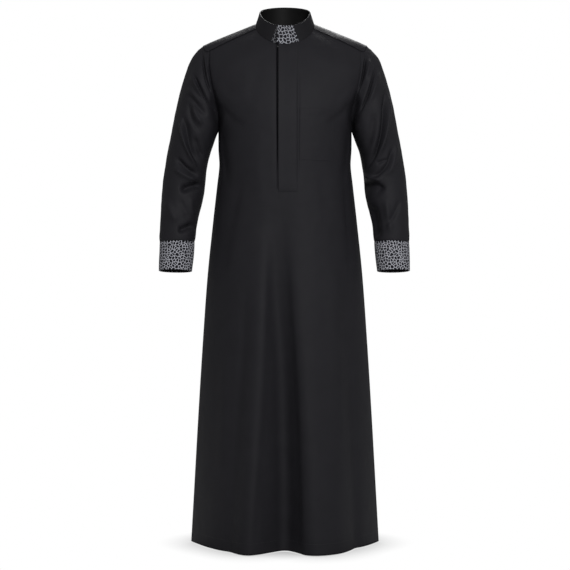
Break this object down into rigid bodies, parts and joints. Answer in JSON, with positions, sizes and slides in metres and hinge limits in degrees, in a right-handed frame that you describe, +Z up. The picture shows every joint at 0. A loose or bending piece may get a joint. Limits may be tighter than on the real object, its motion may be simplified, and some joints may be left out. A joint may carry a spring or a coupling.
{
  "type": "black thobe with a stand collar, long sleeves and patterned cuffs",
  "caption": "Long black A-line thobe, hollow as worn: stand collar and cuffs with patterned fabric, covered front placket, chest pocket, long sleeves and a fluted hem.",
  "frame": {"origin": "between the shoulders, on the middle line, level with the foot of the collar's sides, where the wearer's neck and shoulders hold the thobe", "axes": "+Z up, -Y the garment's front, +X towards the wearer's left"},
  "size_m": [0.659, 0.3853, 1.4246],
  "materials": {
    "black_cloth": "matt plain-weave suiting with a faint sheen",
    "patterned_cloth": "matt woven fabric, a light grey net over near-black cells"
  },
  "bodies": {
    "root": {"front": "black_cloth", "back": "black_cloth", "yoke": "black_cloth", "sleeve_left": "black_cloth", "sleeve_right": "black_cloth", "cuff_left": "patterned_cloth", "cuff_right": "patterned_cloth", "collar_band": "black_cloth", "collar_end_over": "patterned_cloth", "collar_end_under": "patterned_cloth", "placket_over": "black_cloth", "placket_under": "black_cloth", "pocket": "black_cloth"}
  },
  "joints": []
}
